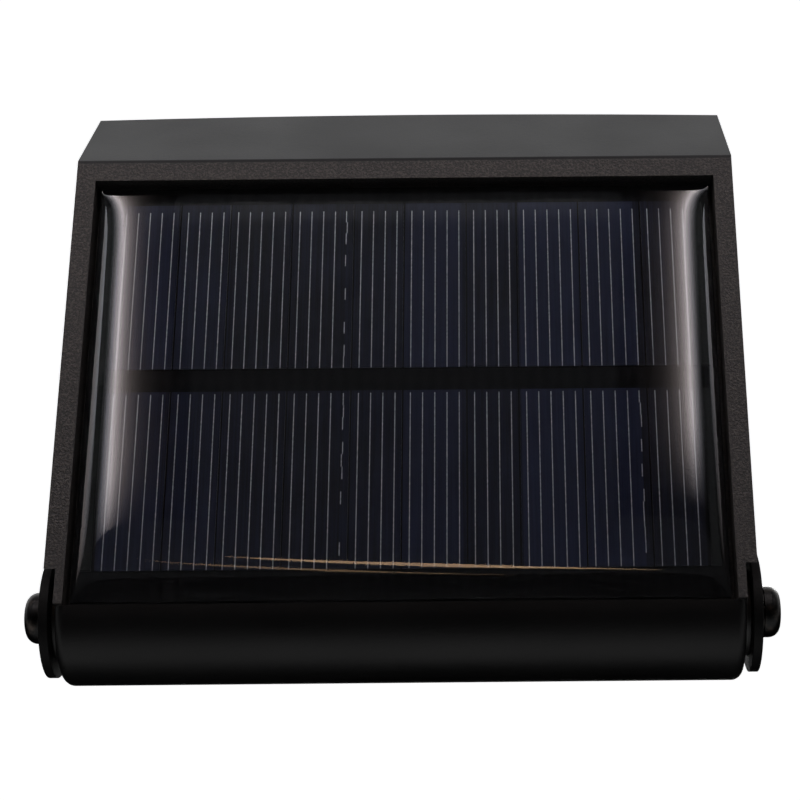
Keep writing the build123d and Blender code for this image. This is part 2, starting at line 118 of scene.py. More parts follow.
# Bands of the wave texture are 0.314 units apart, so the laminate's weave repeats every 2.5 mm
WEAVE_SCALE = 125.0

# Edge radii of the dressed pieces
SHEET_EDGE = 0.25 * MM
COVER_EDGE = 0.2 * MM
WASHER_EDGE = 0.15 * MM
SCREW_EDGE = 0.12 * MM
SMALL_SCREW_EDGE = 0.1 * MM

# How meshes are cleaned and rounded
WELD_DISTANCE = 1e-6
FLAT_ANGLE = radians(0.5)
EDGE_ANGLE = radians(30)
EDGE_SEGMENTS = 2
DOME_SHARP_ANGLE = radians(40)

# Part of its range that a noise really fills
SPREAD = {"From Min": 0.3, "From Max": 0.7}

# Kinds of node that are used often
NOISE = "ShaderNodeTexNoise"
RANGE = "ShaderNodeMapRange"
MIX = "ShaderNodeMix"
MATH = "ShaderNodeMath"
BUMP = "ShaderNodeBump"
AXES = "ShaderNodeSeparateXYZ"


def to_linear(colour):
    """Linear RGBA of an sRGB hex value such as '#1a2b3c'."""
    channels = [int(colour[i:i + 2], 16) / 255 for i in (1, 3, 5)]
    linear = [c / 12.92 if c <= 0.04045 else ((c + 0.055) / 1.055) ** 2.4 for c in channels]
    return (*linear, 1.0)


def fill(tree, node, inputs):
    """Sets each input to a value or hex colour, or links it to a socket or a node's first live output."""
    for key, value in inputs.items():
        socket = node.inputs[key]
        if isinstance(value, bpy.types.Node):
            value = next(output for output in value.outputs if output.enabled)
        if isinstance(value, bpy.types.NodeSocket):
            tree.links.new(value, socket)
        else:
            socket.default_value = to_linear(value) if isinstance(value, str) else value


def add(tree, kind, inputs=None, **settings):
    """A node of that kind with its settings and inputs."""
    node = tree.nodes.new(kind)
    for name, value in settings.items():
        setattr(node, name, value)
    fill(tree, node, inputs or {})
    return node


def new_material(name):
    """A material with its tree, its Principled shader and its Object coordinates."""
    material = bpy.data.materials.new(name)
    material.use_nodes = True
    tree = material.node_tree
    place = add(tree, "ShaderNodeTexCoord").outputs["Object"]
    return material, tree, tree.nodes["Principled BSDF"], place


def per_metre(size_mm):
    """Noise scale whose features are about that many millimetres wide."""
    return 1.0 / (size_mm * MM)


# Materials

def spark_grained_abs():
    """Black ABS moulded in a spark-eroded tool, with a smooth roof strip and nose.

    The roof strip is painted lighter: painted light from above falling on it.

    The grain breaks the shine on the rim and sides into fine warm specks: painted glints on its tops.
    The smooth parts carry a soft even sheen. The grain is drawn about twice as coarse as a real one, so
    that it shows.
    """
    props = bpy.context.scene.solar_light_finish
    material, tree, shader, place = new_material("abs_black_spark_grained")
    local = add(tree, "ShaderNodeMapping", {
        "Vector": place, "Location": AXIS, "Rotation": (LEAN, 0.0, 0.0),
    }, vector_type="TEXTURE")
    axes = add(tree, AXES, {"Vector": local})
    nose = add(tree, RANGE, {
        "Value": axes.outputs["Y"], "From Min": LIP_U + NOSE_BLEND[0], "From Max": LIP_U + NOSE_BLEND[1],
        "To Min": 1.0, "To Max": 0.0,
    })
    above_roof = add(tree, "ShaderNodeVectorMath", {
        0: local, 1: (0.0, sin(ROOF_LEAN), cos(ROOF_LEAN)),
    }, operation="DOT_PRODUCT").outputs["Value"]
    roof_level = ROOF_EDGE_U * sin(ROOF_LEAN) + FACE_N * cos(ROOF_LEAN)
    roof = add(tree, RANGE, {
        "Value": above_roof, "From Min": roof_level + ROOF_BLEND[0], "From Max": roof_level + ROOF_BLEND[1],
        "To Min": 0.0, "To Max": 1.0,
    })
    smooth = add(tree, MATH, {0: nose, 1: roof}, operation="MAXIMUM")
    grain = add(tree, NOISE, {
        "Vector": place, "Scale": per_metre(props.grain / MM), "Detail": 3.0, "Roughness": 0.65,
    })
    mottle = add(tree, NOISE, {"Vector": place, "Scale": per_metre(6.0), "Detail": 3.0})
    flow = add(tree, NOISE, {"Vector": place, "Scale": per_metre(22.0)})
    # Painted glints: the grain's tops get a lighter, warmer colour, as light catches them
    painted_glint_mask = add(tree, RANGE, {"Value": grain, "From Min": 0.46, "From Max": 0.63})
    grained = add(tree, MIX, {
        0: painted_glint_mask, 6: tuple(props.shell), 7: tuple(props.shell_painted_glint),
    }, data_type="RGBA")
    even = add(tree, MIX, {
        0: mottle, 6: tuple(props.shell_smooth), 7: tuple(props.shell),
    }, data_type="RGBA")
    # Painted light: the roof strip gets a lighter colour, as it faces the light from above
    even = add(tree, MIX, {0: roof, 6: even, 7: tuple(props.shell_roof_painted_lit)}, data_type="RGBA")
    colour = add(tree, MIX, {0: smooth, 6: grained, 7: even}, data_type="RGBA")
    depth = add(tree, RANGE, {"Value": smooth, "To Min": 1.0, "To Max": SMOOTH_DEPTH})
    height = add(tree, MATH, {0: grain, 1: depth}, operation="MULTIPLY")
    satin = add(tree, RANGE, {"Value": flow, **SPREAD, "To Min": 0.40, "To Max": 0.46})
    rough = add(tree, MIX, {0: smooth, 2: GRAIN_ROUGHNESS, 3: satin})
    sheen = add(tree, RANGE, {"Value": roof, "To Min": GRAIN_SHEEN, "To Max": ROOF_SHEEN})
    fill(tree, shader, {
        "Base Color": colour, "Roughness": rough, "IOR": 1.53,
        "Specular IOR Level": add(tree, MIX, {0: nose, 2: sheen, 3: NOSE_SHEEN}),
        "Normal": add(tree, BUMP, {"Height": height, "Distance": GRAIN_DEPTH}),
    })
    return material


def moulded(name, dark, light, roughness, ior=1.5, grain_mm=0.5, depth_mm=0.03, gloss=0.5):
    """Moulded plastic or rubber: an even colour with a slow flow mottle and a fine surface grain."""
    material, tree, shader, place = new_material(name)
    mottle = add(tree, NOISE, {"Vector": place, "Scale": per_metre(6.0), "Detail": 3.0})
    grain = add(tree, NOISE, {"Vector": place, "Scale": per_metre(grain_mm)})
    rough = add(tree, RANGE, {
        "Value": mottle, **SPREAD, "To Min": roughness - 0.06, "To Max": roughness + 0.06,
    })
    fill(tree, shader, {
        "Base Color": add(tree, MIX, {0: mottle, 6: dark, 7: light}, data_type="RGBA"),
        "Roughness": rough, "IOR": ior, "Specular IOR Level": gloss,
        "Normal": add(tree, BUMP, {"Height": grain, "Distance": depth_mm * MM}),
    })
    return material


def plated(name, dark, light, roughness, worn_from=0.3, worn_to=0.7):
    """Plated, turned or oxidised metal: fine rolling lines with rubbed patches between them."""
    material, tree, shader, place = new_material(name)
    stretched = add(tree, "ShaderNodeMapping", {"Vector": place, "Scale": (1.0, 6.0, 6.0)})
    lines = add(tree, NOISE, {
        "Vector": stretched, "Scale": per_metre(2.0), "Detail": 4.0, "Roughness": 0.6,
    })
    rub = add(tree, NOISE, {"Vector": place, "Scale": per_metre(1.8), "Detail": 3.0})
    worn = add(tree, RANGE, {"Value": rub, "From Min": worn_from, "From Max": worn_to})
    rough = add(tree, RANGE, {
        "Value": lines, **SPREAD, "To Min": roughness - 0.06, "To Max": roughness + 0.08,
    })
    fill(tree, shader, {
        "Base Color": add(tree, MIX, {0: worn, 6: dark, 7: light}, data_type="RGBA"),
        "Metallic": 1.0, "Roughness": rough,
        "Normal": add(tree, BUMP, {"Height": lines, "Distance": 0.01 * MM}),
    })
    return material


def solder_mask(name, dark, light, gloss=0.5):
    """Solder mask on a board: a glossy varnish with the weave of the laminate just showing."""
    material, tree, shader, place = new_material(name)
    weave = add(tree, "ShaderNodeTexWave", {"Vector": place, "Scale": WEAVE_SCALE, "Distortion": 1.5})
    fill(tree, shader, {
        "Base Color": add(tree, MIX, {0: weave.outputs["Fac"], 6: dark, 7: light}, data_type="RGBA"),
        "Roughness": 0.32, "Specular IOR Level": gloss,
        "Normal": add(tree, BUMP, {"Height": weave.outputs["Fac"], "Distance": 0.02 * MM}),
    })
    return material


def powder_coat():
    """Matt polyester powder coat on steel: near black, with a low orange peel and hardly any shine."""
    material, tree, shader, place = new_material("steel_black_powder_coated")
    peel = add(tree, NOISE, {"Vector": place, "Scale": per_metre(0.8)})
    dust = add(tree, NOISE, {"Vector": place, "Scale": per_metre(5.0), "Detail": 4.0})
    rough = add(tree, RANGE, {"Value": dust, **SPREAD, "To Min": 0.50, "To Max": 0.60})
    fill(tree, shader, {
        "Base Color": add(tree, MIX, {0: dust, 6: "#0d0d0d", 7: "#141313"}, data_type="RGBA"),
        "Roughness": rough, "Specular IOR Level": 0.07,
        "Normal": add(tree, BUMP, {"Height": peel, "Distance": 0.04 * MM}),
    })
    return material


def cast_epoxy():
    """Clear epoxy, poured and self-levelled: glassy, with slow ripples in its reflections."""
    material, tree, shader, place = new_material("epoxy_clear_cast")
    ripple = add(tree, NOISE, {"Vector": place, "Scale": per_metre(14.0), "Detail": 1.0})
    fill(tree, shader, {
        "Base Color": add(tree, MIX, {0: ripple, 6: "#f4f6f9", 7: "#f8fafd"}, data_type="RGBA"),
        "Roughness": 0.03, "IOR": 1.5, "Transmission Weight": 1.0,
        "Normal": add(tree, BUMP, {"Height": ripple, "Distance": 0.05 * MM, "Strength": 0.1}),
    })
    return material


def coated_silicon():
    """Silicon with a nitride coat: near black, with blue that changes a little from strip to strip.

    Faint lines run along each strip, where the wafer was sawn.
    """
    props = bpy.context.scene.solar_light_finish
    material, tree, shader, place = new_material("silicon_blue_nitride_coated")
    local = add(tree, "ShaderNodeMapping", {
        "Vector": place, "Location": AXIS, "Rotation": (LEAN, 0.0, 0.0),
    }, vector_type="TEXTURE")
    axes = add(tree, AXES, {"Vector": local})
    strip = add(tree, MATH, {
        0: axes.outputs["X"], 1: FINGERS_PER_STRIP * FINGER_PITCH + 2 * STRIP_BORDER,
    }, operation="DIVIDE")
    number = add(tree, MATH, {0: strip}, operation="FLOOR")
    tone = add(tree, "ShaderNodeTexWhiteNoise", {"W": number}, noise_dimensions="1D")
    sawn = add(tree, "ShaderNodeMapping", {"Vector": local, "Scale": (1.0, 0.02, 1.0)})
    lines = add(tree, NOISE, {"Vector": sawn, "Scale": per_metre(0.35), "Detail": 1.0})
    cloud = add(tree, NOISE, {"Vector": place, "Scale": per_metre(15.0), "Detail": 2.0})
    shade = add(tree, MATH, {0: tone.outputs["Value"], 1: cloud}, operation="ADD")
    shade = add(tree, MATH, {0: shade, 1: lines}, operation="ADD")
    share = add(tree, RANGE, {"Value": shade, "From Min": 0.8, "From Max": 2.1})
    colour = add(tree, MIX, {
        0: share, 6: tuple(props.cell_dark), 7: tuple(props.cell_blue),
    }, data_type="RGBA")
    fill(tree, shader, {"Base Color": colour, "Roughness": 0.45, "Specular IOR Level": RESIN_WET})
    return material


def printed_silver():
    """Silver paste, screen printed: dull pale grey lines with slightly uneven tops."""
    material, tree, shader, place = new_material("silver_paste_printed")
    grit = add(tree, NOISE, {"Vector": place, "Scale": per_metre(0.5), "Detail": 3.0})
    share = add(tree, RANGE, {"Value": grit, **SPREAD})
    fill(tree, shader, {
        "Base Color": add(tree, MIX, {0: share, 6: "#5e6064", 7: "#85878c"}, data_type="RGBA"),
        "Metallic": 0.3, "Roughness": 0.55,
    })
    return material


def frosted_polycarbonate():
    """Clear polycarbonate, moulded with a light frost, so that the LEDs show as soft squares."""
    material, tree, shader, place = new_material("polycarbonate_frosted_moulded")
    frost = add(tree, NOISE, {"Vector": place, "Scale": per_metre(0.7)})
    fill(tree, shader, {
        "Base Color": add(tree, MIX, {0: frost, 6: "#f1f3f4", 7: "#f7f9fa"}, data_type="RGBA"),
        "Roughness": 0.14, "IOR": 1.58, "Transmission Weight": 1.0,
        "Normal": add(tree, BUMP, {"Height": frost, "Distance": 0.02 * MM}),
    })
    return material


def wire_insulation(name, middle):
    """PVC extruded on wire: a smooth satin skin, black on a pair's left lead and red on its right one."""
    material, tree, shader, place = new_material(name)
    axes = add(tree, AXES, {"Vector": place})
    red = add(tree, MATH, {0: axes.outputs["X"], 1: middle}, operation="GREATER_THAN")
    mottle = add(tree, NOISE, {"Vector": place, "Scale": per_metre(1.2)})
    fill(tree, shader, {
        "Base Color": add(tree, MIX, {0: red, 6: "#171717", 7: "#8c1512"}, data_type="RGBA"),
        "Roughness": add(tree, RANGE, {"Value": mottle, "To Min": 0.34, "To Max": 0.46}),
    })
    return material


# Meshes

def piece_of(mesh, name, material, body, slot, *nodes):
    """A finished piece: it rides on a body and stands for the given CAD nodes."""
    piece = bpy.data.objects.new(name, mesh)
    bpy.context.scene.collection.objects.link(piece)
    mesh.materials.clear()
    mesh.materials.append(material)
    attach(piece, body)
    if nodes:
        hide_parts(*nodes)


def paint(node, material):
    """Gives a CAD node's own mesh a finish."""
    mesh = NODES[node].data
    mesh.materials.clear()
    mesh.materials.append(material)


def applied(piece):
    """A plain mesh of the piece with its modifiers applied. The piece itself is removed."""
    depsgraph = bpy.context.evaluated_depsgraph_get()
    mesh = bpy.data.meshes.new_from_object(piece.evaluated_get(depsgraph))
    bpy.data.objects.remove(piece)
    return mesh


def rounded_copy(node, radius):
    """A node's mesh with its sharp edges rounded, as a moulding, a bent sheet or a screw has them."""
    shape = bmesh.new()
    shape.from_mesh(NODES[node].data)
    bmesh.ops.remove_doubles(shape, verts=shape.verts, dist=WELD_DISTANCE)
    bmesh.ops.dissolve_limit(shape, angle_limit=FLAT_ANGLE, verts=shape.verts, edges=shape.edges)
    mesh = bpy.data.meshes.new(node + "_rounded")
    shape.to_mesh(mesh)
    shape.free()
    mesh.shade_smooth()
    piece = bpy.data.objects.new(mesh.name, mesh)
    bpy.context.scene.collection.objects.link(piece)
    bevel = piece.modifiers.new("edges", "BEVEL")
    bevel.width = radius
    bevel.segments = EDGE_SEGMENTS
    bevel.limit_method = "ANGLE"
    bevel.angle_limit = EDGE_ANGLE
    flat = piece.modifiers.new("flat faces", "WEIGHTED_NORMAL")
    flat.mode = "FACE_AREA"
    return applied(piece)


def grown(name, inputs, material, shape_tree):
    """The mesh that a node tree makes. shape_tree adds its nodes and returns the last one."""
    tree = bpy.data.node_groups.new(name, "GeometryNodeTree")
    tree.interface.new_socket("Geometry", in_out="OUTPUT", socket_type="NodeSocketGeometry")
    for key, (kind, _) in inputs.items():
        tree.interface.new_socket(key, in_out="INPUT", socket_type="NodeSocket" + kind)
    last = shape_tree(tree, add(tree, "NodeGroupInput").outputs)
    whole = add(tree, "GeometryNodeRealizeInstances", {"Geometry": last})
    painted = add(tree, "GeometryNodeSetMaterial", {"Geometry": whole, "Material": material})
    add(tree, "NodeGroupOutput", {"Geometry": painted})
    piece = bpy.data.objects.new(name, bpy.data.meshes.new(name))
    bpy.context.scene.collection.objects.link(piece)
    modifier = piece.modifiers.new(name, "NODES")
    modifier.node_group = tree
    for item in tree.interface.items_tree:
        if item.in_out == "INPUT":
            modifier[item.identifier] = inputs[item.name][1]
    return applied(piece)


# Printed fingers: bars in each, their height, and how much shorter than its row a finger is
FINGER_BARS = 14
FINGER_HEIGHT = 0.03 * MM
FINGER_INSET, UPPER_FINGER_INSET = 0.5 * MM, 1.0 * MM
# Worn fingers: which ones, how far their bars stray, and the share of bars that is gone
WORN_FINGER = 18
WORN_LOWER_FINGER = 41
FINGER_JOG = 0.13 * MM
BROKEN_SHARE = 0.28
JOG_SEED, BREAK_SEED = 5, 29
# Resin: steps across its top, and how far its foot is sunk into the board
DOME_STEPS = 160
DOME_SUNK = 0.05 * MM


def finger_tree(tree, given):
    """Printed fingers as rows of short bars. Two are broken and jogged, as on a badly cut strip."""
    step = add(tree, "GeometryNodeInputIndex")
    per_row = add(tree, MATH, {0: given["Bars"], 1: given["Fingers"]}, operation="MULTIPLY")
    count = add(tree, MATH, {0: per_row, 1: 2.0}, operation="MULTIPLY")
    bar = add(tree, MATH, {0: step, 1: given["Bars"]}, operation="MODULO")
    order = add(tree, MATH, {0: step, 1: given["Bars"]}, operation="DIVIDE")
    order = add(tree, MATH, {0: order}, operation="FLOOR")
    finger = add(tree, MATH, {0: order, 1: given["Fingers"]}, operation="MODULO")
    row = add(tree, MATH, {0: step, 1: per_row}, operation="DIVIDE")
    row = add(tree, MATH, {0: row}, operation="FLOOR")
    shifted = add(tree, MATH, {0: finger, 1: STRIP_PHASE}, operation="ADD")
    strip = add(tree, MATH, {0: shifted, 1: given["Fingers per strip"]}, operation="DIVIDE")
    strip = add(tree, MATH, {0: strip}, operation="FLOOR")
    across = add(tree, MATH, {0: finger, 1: given["Pitch"], 2: given["Left"]}, operation="MULTIPLY_ADD")
    across = add(tree, MATH, {0: strip, 1: given["Strip space"], 2: across}, operation="MULTIPLY_ADD")
    first = add(tree, MATH, {0: finger, 1: given["Worn finger"], 2: 0.5}, operation="COMPARE")
    second = add(tree, MATH, {0: finger, 1: given["Worn lower finger"], 2: 0.5}, operation="COMPARE")
    lower = add(tree, MATH, {0: row, 1: 0.5}, operation="LESS_THAN")
    second = add(tree, MATH, {0: second, 1: lower}, operation="MULTIPLY")
    worn = add(tree, MATH, {0: first, 1: second}, operation="MAXIMUM")
    jog = add(tree, "FunctionNodeRandomValue", {
        2: -FINGER_JOG, 3: FINGER_JOG, "ID": step, "Seed": given["Seed"],
    })
    across = add(tree, MATH, {0: worn, 1: jog.outputs[1], 2: across}, operation="MULTIPLY_ADD")
    short = add(tree, MATH, {
        0: row, 1: given["Upper inset"], 2: given["Inset"],
    }, operation="MULTIPLY_ADD")
    length = add(tree, MATH, {0: given["Row length"], 1: short}, operation="SUBTRACT")
    length = add(tree, MATH, {0: length, 1: given["Bars"]}, operation="DIVIDE")
    along = add(tree, MATH, {0: bar, 1: 0.5}, operation="ADD")
    along = add(tree, MATH, {0: along, 1: length, 2: given["Start"]}, operation="MULTIPLY_ADD")
    row_step = add(tree, MATH, {0: given["Row length"], 1: given["Row gap"]}, operation="ADD")
    along = add(tree, MATH, {0: row, 1: row_step, 2: along}, operation="MULTIPLY_ADD")
    place = add(tree, "ShaderNodeCombineXYZ", {"X": across, "Y": along, "Z": given["Level"]})
    line = add(tree, "GeometryNodeMeshLine", {"Count": count})
    placed = add(tree, "GeometryNodeSetPosition", {"Geometry": line, "Position": place})
    chance = add(tree, "FunctionNodeRandomValue", {2: 0.0, 3: 1.0, "ID": step, "Seed": BREAK_SEED})
    broken = add(tree, MATH, {0: chance.outputs[1], 1: BROKEN_SHARE}, operation="LESS_THAN")
    broken = add(tree, MATH, {0: broken, 1: worn}, operation="MULTIPLY")
    kept = add(tree, "GeometryNodeDeleteGeometry", {"Geometry": placed, "Selection": broken})
    size = add(tree, "ShaderNodeCombineXYZ", {"X": given["Width"], "Y": 1.0, "Z": given["Height"]})
    stick = add(tree, "GeometryNodeMeshCube", {"Size": size})
    stretch = add(tree, "ShaderNodeCombineXYZ", {"X": 1.0, "Y": length, "Z": 1.0})
    bars = add(tree, "GeometryNodeInstanceOnPoints", {
        "Points": kept, "Instance": stick, "Scale": stretch,
    })
    return add(tree, "GeometryNodeTransform", {
        "Geometry": bars, "Translation": AXIS, "Rotation": (LEAN, 0.0, 0.0),
    })


def phosphor_tree(tree, given):
    """Yellow phosphor windows, one on each LED package."""
    grid = add(tree, "GeometryNodeMeshGrid", {
        "Size X": given["Width"], "Size Y": given["Length"],
        "Vertices X": given["Columns"], "Vertices Y": given["Rows"],
    })
    window = add(tree, "GeometryNodeMeshCube", {"Size": given["Window"]})
    copies = add(tree, "GeometryNodeInstanceOnPoints", {
        "Points": grid.outputs["Mesh"], "Instance": window.outputs["Mesh"],
    })
    centred = add(tree, "GeometryNodeTransform", {"Geometry": copies, "Translation": given["Centre"]})
    return add(tree, "GeometryNodeTransform", {
        "Geometry": centred, "Translation": AXIS, "Rotation": (LEAN, 0.0, 0.0),
    })


def resin_dome(fall, drop, crown):
    """Cast resin as a closed block: level in the middle of its top, and falling at each edge as a meniscus.

    The slope fades with the distance from the edge, by a factor e for each fall length. The foot is sunk a
    little into the board, so that no air shows between them.
    """
    low, high = RESIN_LOW, RESIN_HIGH
    foot = low.z - DOME_SUNK

    def spaced(start, end):
        """Positions across the dome, closer together where it falls."""
        middle, half = (start + end) / 2, (end - start) / 2
        return [middle + half * sin(pi / 2 * (2 * i / DOME_STEPS - 1)) for i in range(DOME_STEPS + 1)]

    def level(x, u):
        """Height of the top at a place on the panel face."""
        share = 1.0
        for value, first, last in ((x, low.x, high.x), (u, low.y, high.y)):
            share *= 1 - exp((first - value) / fall) - exp((value - last) / fall)
        return high.z + crown - drop * (1 - share)

    shape = bmesh.new()
    xs, us = spaced(low.x, high.x), spaced(low.y, high.y)
    last = DOME_STEPS
    top = [[shape.verts.new(HEAD @ Vector((x, u, level(x, u)))) for x in xs] for u in us]
    for j in range(last):
        for i in range(last):
            shape.faces.new((top[j][i], top[j][i + 1], top[j + 1][i + 1], top[j + 1][i]))
    ring = [(0, i) for i in range(last)] + [(j, last) for j in range(last)]
    ring += [(last, i) for i in range(last, 0, -1)] + [(j, 0) for j in range(last, 0, -1)]
    base = [shape.verts.new(HEAD @ Vector((xs[i], us[j], foot))) for j, i in ring]
    for k, (j, i) in enumerate(ring):
        after = (k + 1) % len(ring)
        jj, ii = ring[after]
        shape.faces.new((top[j][i], base[k], base[after], top[jj][ii]))
    shape.faces.new(reversed(base))
    bmesh.ops.recalc_face_normals(shape, faces=shape.faces)
    mesh = bpy.data.meshes.new("resin_dome")
    shape.to_mesh(mesh)
    shape.free()
    mesh.shade_smooth()
    mesh.set_sharp_from_angle(angle=DOME_SHARP_ANGLE)
    return mesh


# Settings that a user would change

class SolarLightFinish(bpy.types.PropertyGroup):
    """Colours and grain of the finishes."""

    shell: bpy.props.FloatVectorProperty(
        name="Shell", description="Black of the moulded shell",
        subtype="COLOR", size=4, min=0.0, max=1.0, default=to_linear("#0d0c0c"))
    # Painted glints: lighter warm tops on the grain, for light caught on them
    shell_painted_glint: bpy.props.FloatVectorProperty(
        name="Shell grain", description="Lighter tops of the shell's grain",
        subtype="COLOR", size=4, min=0.0, max=1.0, default=to_linear("#35302d"))
    shell_smooth: bpy.props.FloatVectorProperty(
        name="Smooth shell", description="Black of the smooth nose",
        subtype="COLOR", size=4, min=0.0, max=1.0, default=to_linear("#0a0a0b"))
    # The roof strip's lighter grey is painted light from above, not dust
    shell_roof_painted_lit: bpy.props.FloatVectorProperty(
        name="Roof strip", description="Roof strip, a little greyed by dust",
        subtype="COLOR", size=4, min=0.0, max=1.0, default=to_linear("#1a1a1b"))
    cell_dark: bpy.props.FloatVectorProperty(
        name="Cell dark", description="Darker tone of the cells",
        subtype="COLOR", size=4, min=0.0, max=1.0, default=to_linear("#0b0c13"))
    cell_blue: bpy.props.FloatVectorProperty(
        name="Cell blue", description="Bluer tone of the cells",
        subtype="COLOR", size=4, min=0.0, max=1.0, default=to_linear("#171b2e"))
    grain: bpy.props.FloatProperty(
        name="Grain", description="Width of the shell's grain",
        unit="LENGTH", default=0.4 * MM, min=0.05 * MM, max=2.0 * MM)


class SolarLightSizes(bpy.types.PropertyGroup):
    """Sizes of details that are finer than the solids."""

    edge: bpy.props.FloatProperty(
        name="Moulded edge", description="Radius on the shell's sharp edges",
        unit="LENGTH", default=0.3 * MM, min=0.05 * MM, max=0.5 * MM)
    dome_fall: bpy.props.FloatProperty(
        name="Dome edge", description="Length over which the resin's slope fades from its edge",
        unit="LENGTH", default=2.5 * MM, min=0.5 * MM, max=8.0 * MM)
    dome_drop: bpy.props.FloatProperty(
        name="Dome drop", description="How far the resin falls at its edge",
        unit="LENGTH", default=1.7 * MM, min=0.2 * MM, max=2.5 * MM)
    dome_crown: bpy.props.FloatProperty(
        name="Dome crown", description="How far the resin stands over its plain block",
        unit="LENGTH", default=0.4 * MM, min=0.0, max=0.5 * MM)
    finger_width: bpy.props.FloatProperty(
        name="Finger width", description="Width of a printed finger",
        unit="LENGTH", default=0.16 * MM, min=0.05 * MM, max=0.5 * MM)


# Operators

class ShellOperator(bpy.types.Operator):
    """Moulded head shell with rounded edges."""

    bl_idname = "solar_light.shell"
    bl_label = "Head shell"

    def execute(self, context):
        mesh = rounded_copy("head_housing", context.scene.solar_light_sizes.edge)
        piece_of(mesh, "head_shell", spark_grained_abs(), "head", "black_shell", "head_housing")
        return {"FINISHED"}


class PanelOperator(bpy.types.Operator):
    """Solar panel: board, cells, printed fingers, ribbons and domed resin."""

    bl_idname = "solar_light.panel"
    bl_label = "Solar panel"

    def execute(self, context):
        sizes = context.scene.solar_light_sizes
        paint("solar_cells", coated_silicon())
        # Black mask wetted by the resin: no gloss of its own, so it shows as a dull dark border
        mask = solder_mask("laminate_black_solder_mask", "#0c0c0d", "#101011", gloss=0.01)
        paint("panel_board", mask)
        # Ribbon under black tape: a matt band between the rows
        tape = moulded("copper_ribbon_black_taped", "#0f1111", "#141616", 0.4, gloss=RESIN_WET)
        paint("bus_ribbons", tape)
        # Die-cut foam: open cells that swallow the light in the gap round the panel
        foam = moulded("foam_black_cut", "#151515", "#1c1c1c", 0.9, grain_mm=0.8, depth_mm=0.1)
        paint("panel_gasket", foam)
        silver = printed_silver()
        inputs = {
            "Fingers": ("Float", float(FINGERS_PER_ROW)),
            "Fingers per strip": ("Float", FINGERS_PER_STRIP),
            "Bars": ("Float", float(FINGER_BARS)),
            "Pitch": ("Float", FINGER_PITCH),
            "Strip space": ("Float", 2 * STRIP_BORDER),
            "Left": ("Float", CELLS_LOW.x - STRIP_GAP / 2 + STRIP_BORDER + FINGER_PITCH / 2),
            "Row length": ("Float", (CELLS_HIGH.y - CELLS_LOW.y - ROW_GAP) / 2),
            "Row gap": ("Float", ROW_GAP),
            "Inset": ("Float", FINGER_INSET),
            "Upper inset": ("Float", UPPER_FINGER_INSET),
            "Start": ("Float", CELLS_LOW.y),
            "Level": ("Float", CELLS_HIGH.z + FINGER_HEIGHT / 2),
            "Width": ("Float", sizes.finger_width),
            "Height": ("Float", FINGER_HEIGHT),
            "Worn finger": ("Float", float(WORN_FINGER)),
            "Worn lower finger": ("Float", float(WORN_LOWER_FINGER)),
            "Seed": ("Int", JOG_SEED),
        }
        fingers = grown("cell_fingers", inputs, silver, finger_tree)
        piece_of(fingers, "cell_fingers", silver, "head", "ribbon")
        dome = resin_dome(sizes.dome_fall, sizes.dome_drop, sizes.dome_crown)
        piece_of(dome, "resin_dome", cast_epoxy(), "head", "epoxy", "panel_resin")
        return {"FINISHED"}


class BracketOperator(bpy.types.Operator):
    """Bent steel wall bracket."""

    bl_idname = "solar_light.bracket"
    bl_label = "Wall bracket"

    def execute(self, context):
        mesh = rounded_copy("wall_bracket", SHEET_EDGE)
        piece_of(mesh, "bracket_sheet", powder_coat(), "bracket", "black_steel", "wall_bracket")
        return {"FINISHED"}


class ScrewOperator(bpy.types.Operator):
    """Pivot screws with their washers and inserts, and the cover's screws."""

    bl_idname = "solar_light.screws"
    bl_label = "Screws and washers"

    def execute(self, context):
        # Oiled black oxide: a dark satin metal, browner where the heads are rubbed
        oxide = plated("steel_black_oxide", "#1d1d1d", "#3a3430", 0.36, worn_from=0.5, worn_to=0.75)
        for node, radius, name in (
            ("pivot_screws", SCREW_EDGE, "pivot_screw_pair"),
            ("spring_washers", SCREW_EDGE, "spring_washer_pair"),
            ("cover_screws", SMALL_SCREW_EDGE, "cover_screw_set"),
        ):
            piece_of(rounded_copy(node, radius), name, oxide, "head", "black_screw", node)
        # Punched nylon: a dull black ring between two brighter parts
        nylon = moulded("nylon_black_punched", "#0d0d0d", "#141414", 0.5, ior=1.53)
        rings = rounded_copy("friction_washers", WASHER_EDGE)
        piece_of(rings, "friction_washer_pair", nylon, "head", "nylon", "friction_washers")
        # Turned brass: yellow with fine bright lines from the lathe
        paint("pivot_inserts", plated("brass_turned", "#8a6a2c", "#b08d45", 0.3))
        return {"FINISHED"}


class CoverOperator(bpy.types.Operator):
    """Underside cover with its seals, lens and button."""

    bl_idname = "solar_light.cover"
    bl_label = "Underside cover"

    def execute(self, context):
        # Moulded with a fine texture: an even soft black that hides fingerprints
        black = moulded(
            "abs_black_cover_moulded", "#1a1a1b", "#232324", 0.52, ior=1.53, grain_mm=0.45, depth_mm=0.05)
        plate = rounded_copy("underside_cover", COVER_EDGE)
        piece_of(plate, "cover_plate", black, "head", "black_cover", "underside_cover")
        lens = rounded_copy("lens", COVER_EDGE)
        piece_of(lens, "lens_window", frosted_polycarbonate(), "head", "lens_clear", "lens")
        # Grey silicone: a soft matt cap, a little lighter than the cover so that it can be found
        soft = moulded("silicone_grey_moulded", "#2a2b2c", "#343536", 0.55, ior=1.43)
        cap = rounded_copy("mode_button", COVER_EDGE)
        piece_of(cap, "button_cap", soft, "button", "button_rubber", "mode_button")
        # Black silicone: a thin dull line in each joint
        rubber = moulded("silicone_black_moulded", "#121212", "#1a1a1a", 0.6, ior=1.43)
        for node in ("cover_seal", "lens_gasket", "button_seal"):
            paint(node, rubber)
        return {"FINISHED"}


